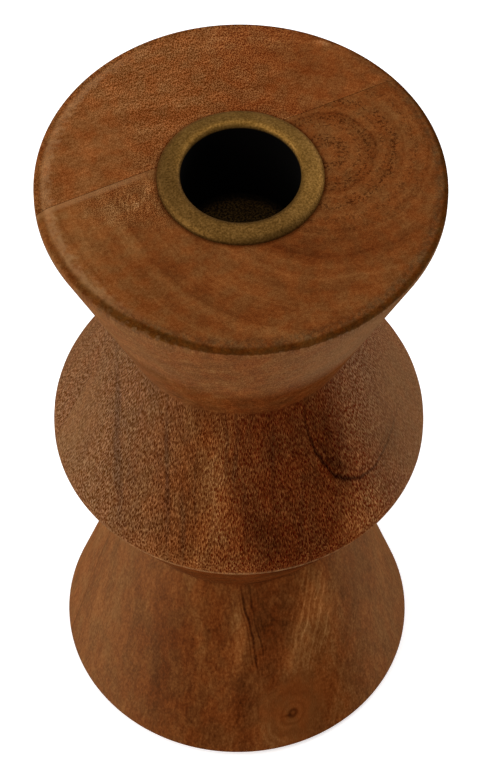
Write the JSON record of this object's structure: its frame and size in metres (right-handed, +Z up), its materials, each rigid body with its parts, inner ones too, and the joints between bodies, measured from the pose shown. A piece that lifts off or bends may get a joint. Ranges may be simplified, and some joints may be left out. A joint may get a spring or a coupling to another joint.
{
  "type": "candle holder",
  "caption": "Turned wooden candle holder, spool-shaped with wide rims and narrow waists, holding a taper candle in a brass cup in its flat top.",
  "frame": {"origin": "centre of the underside of the felt disc, on the surface that the holder stands on", "axes": "+Z up along the turning axis, X parallel to the upright glue face, +Y towards the back plank"},
  "size_m": [0.077, 0.077, 0.1538],
  "materials": {
    "front_wood": "dark stained hardwood, satin, open pores",
    "back_wood": "dark stained hardwood, a little lighter, satin, open pores",
    "aged_brass": "antique, speckled, satin",
    "felt": "pressed wool felt"
  },
  "bodies": {
    "root": {"front_plank": "front_wood", "back_plank": "back_wood", "candle_cup": "aged_brass", "felt_pad": "felt"}
  },
  "joints": []
}
